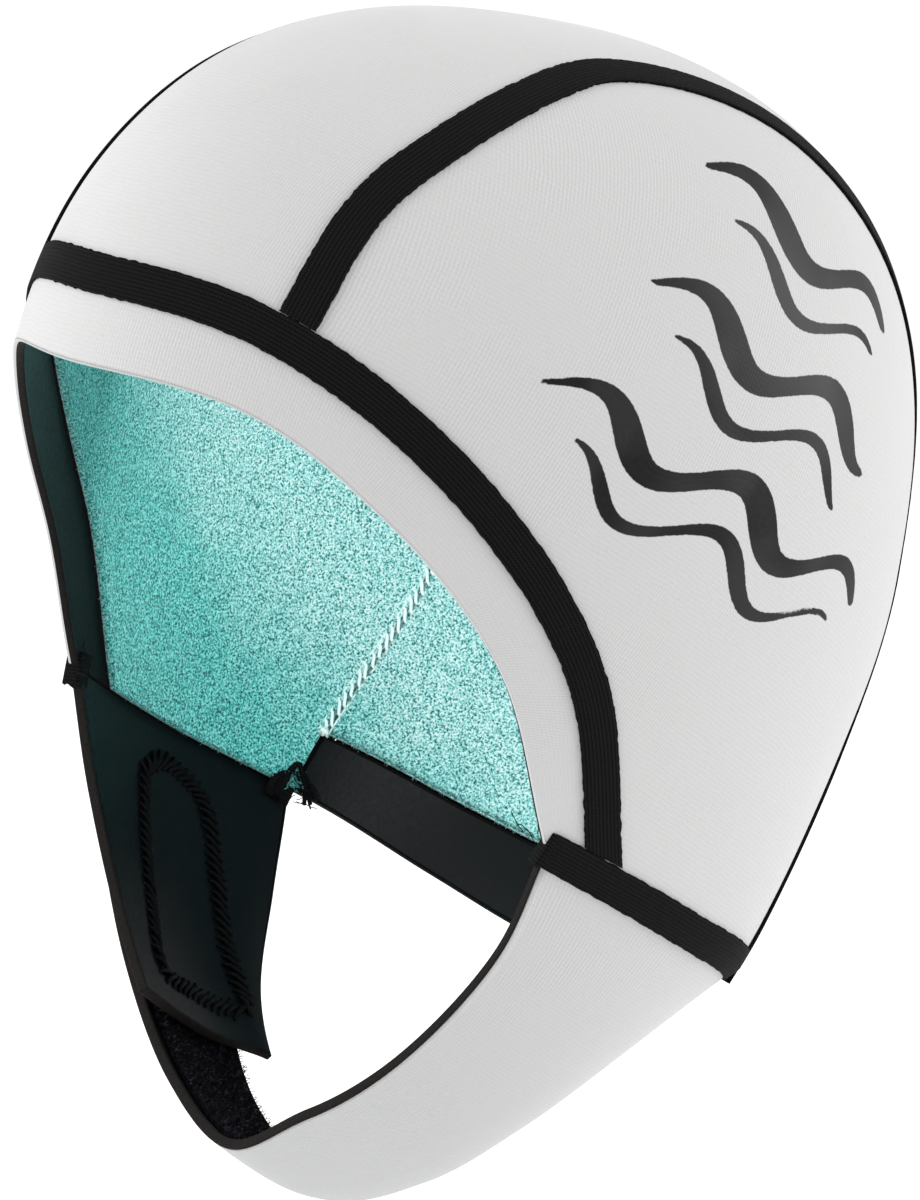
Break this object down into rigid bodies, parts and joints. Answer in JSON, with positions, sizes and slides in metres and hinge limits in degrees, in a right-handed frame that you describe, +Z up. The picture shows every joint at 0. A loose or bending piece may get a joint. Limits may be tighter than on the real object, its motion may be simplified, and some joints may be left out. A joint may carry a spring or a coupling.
{
  "type": "thermal swim cap",
  "caption": "Close-fitting thermal swim cap of taped neoprene panels with a plush lining, and a chin strap that closes with hook and loop under the jaw.",
  "frame": {"origin": "the seat inside the top of the crown, where the top of the head carries the cap", "axes": "+Z up, the wearer faces -Y, and the wearer's left side is +X"},
  "size_m": [0.1678, 0.1997, 0.2445],
  "materials": {
    "jersey": "pale grey ribbed jersey on neoprene, black smooth skin inside the bands and flaps",
    "plush": "teal fleece with a short pebbled pile",
    "webbing": "black woven seam tape",
    "fastener": "black hook and loop tape"
  },
  "bodies": {
    "root": {"centre_panel": "jersey", "side_panel_left": "jersey", "side_panel_right": "jersey", "face_band": "jersey", "nape_band": "jersey", "chin_flap_left": "jersey", "chin_flap_right": "jersey", "centre_lining": "plush", "side_lining_left": "plush", "side_lining_right": "plush", "face_tape": "webbing", "nape_tape": "webbing", "neck_tape_left": "webbing", "neck_tape_right": "webbing", "side_tape_left": "webbing", "side_tape_right": "webbing", "hook_patch": "fastener", "loop_patch": "fastener"}
  },
  "joints": []
}
